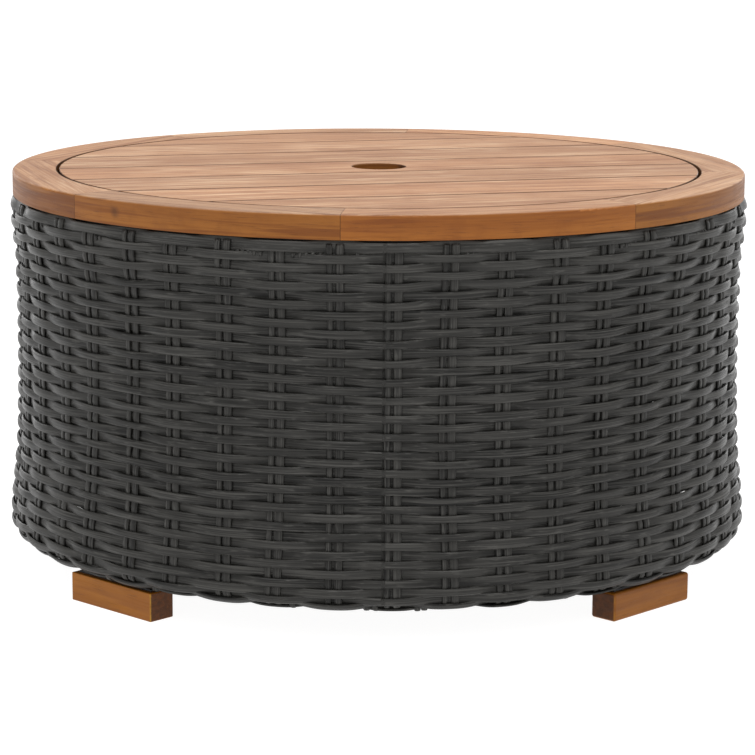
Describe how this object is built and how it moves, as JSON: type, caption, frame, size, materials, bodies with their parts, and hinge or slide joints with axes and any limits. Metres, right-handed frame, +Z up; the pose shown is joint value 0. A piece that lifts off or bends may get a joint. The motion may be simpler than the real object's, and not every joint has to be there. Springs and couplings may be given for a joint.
{
  "type": "wicker coffee table",
  "caption": "Round garden coffee table: woven drum base on block feet, timber rim and a lift-out slatted timber lid with a central pole hole.",
  "frame": {"origin": "on the ground under the centre of the table", "axes": "+Z up; -Y is the front, midway between two feet; the feet stand on the diagonals of X and Y; the lid's slats run 14 degrees anticlockwise from +X"},
  "size_m": [0.8176, 0.8176, 0.428],
  "materials": {
    "rim_wood": "oiled, satin",
    "lid_wood": "oiled, dry, satin",
    "batten_wood": "planed, dry",
    "foot_wood": "oiled, satin",
    "wicker": "satin, finely grained strand",
    "frame_steel": "powder coated, matt",
    "screw_steel": "zinc plated"
  },
  "bodies": {
    "base": {"rim_segment_1": "rim_wood", "rim_segment_2": "rim_wood", "rim_segment_3": "rim_wood", "rim_segment_4": "rim_wood", "rim_segment_5": "rim_wood", "rim_segment_6": "rim_wood", "rim_segment_7": "rim_wood", "rim_segment_8": "rim_wood", "post_1": "frame_steel", "post_2": "frame_steel", "post_3": "frame_steel", "post_4": "frame_steel", "post_5": "frame_steel", "post_6": "frame_steel", "post_7": "frame_steel", "post_8": "frame_steel", "foot_plate_1": "frame_steel", "foot_plate_2": "frame_steel", "foot_plate_3": "frame_steel", "foot_plate_4": "frame_steel", "top_flange": "frame_steel", "top_hoop": "frame_steel", "bottom_hoop": "frame_steel", "foot_1": "foot_wood", "foot_2": "foot_wood", "foot_3": "foot_wood", "foot_4": "foot_wood", "rim_screws": "screw_steel", "foot_screws": "screw_steel", "wicker_wall": "wicker", "wicker_top_border": "wicker", "wicker_bottom_border": "wicker"},
    "lid": {"lid_slat_1": "lid_wood", "lid_slat_2": "lid_wood", "lid_slat_3": "lid_wood", "lid_slat_4": "lid_wood", "lid_slat_5": "lid_wood", "lid_slat_6": "lid_wood", "lid_slat_7": "lid_wood", "lid_batten_1": "batten_wood", "lid_batten_2": "batten_wood", "lid_screws": "screw_steel"}
  },
  "joints": [
    {"name": "lid_lift", "type": "slide", "parent": "base", "child": "lid", "axis": [0, 0, 1], "range_m": [0, 0.15]}
  ]
}
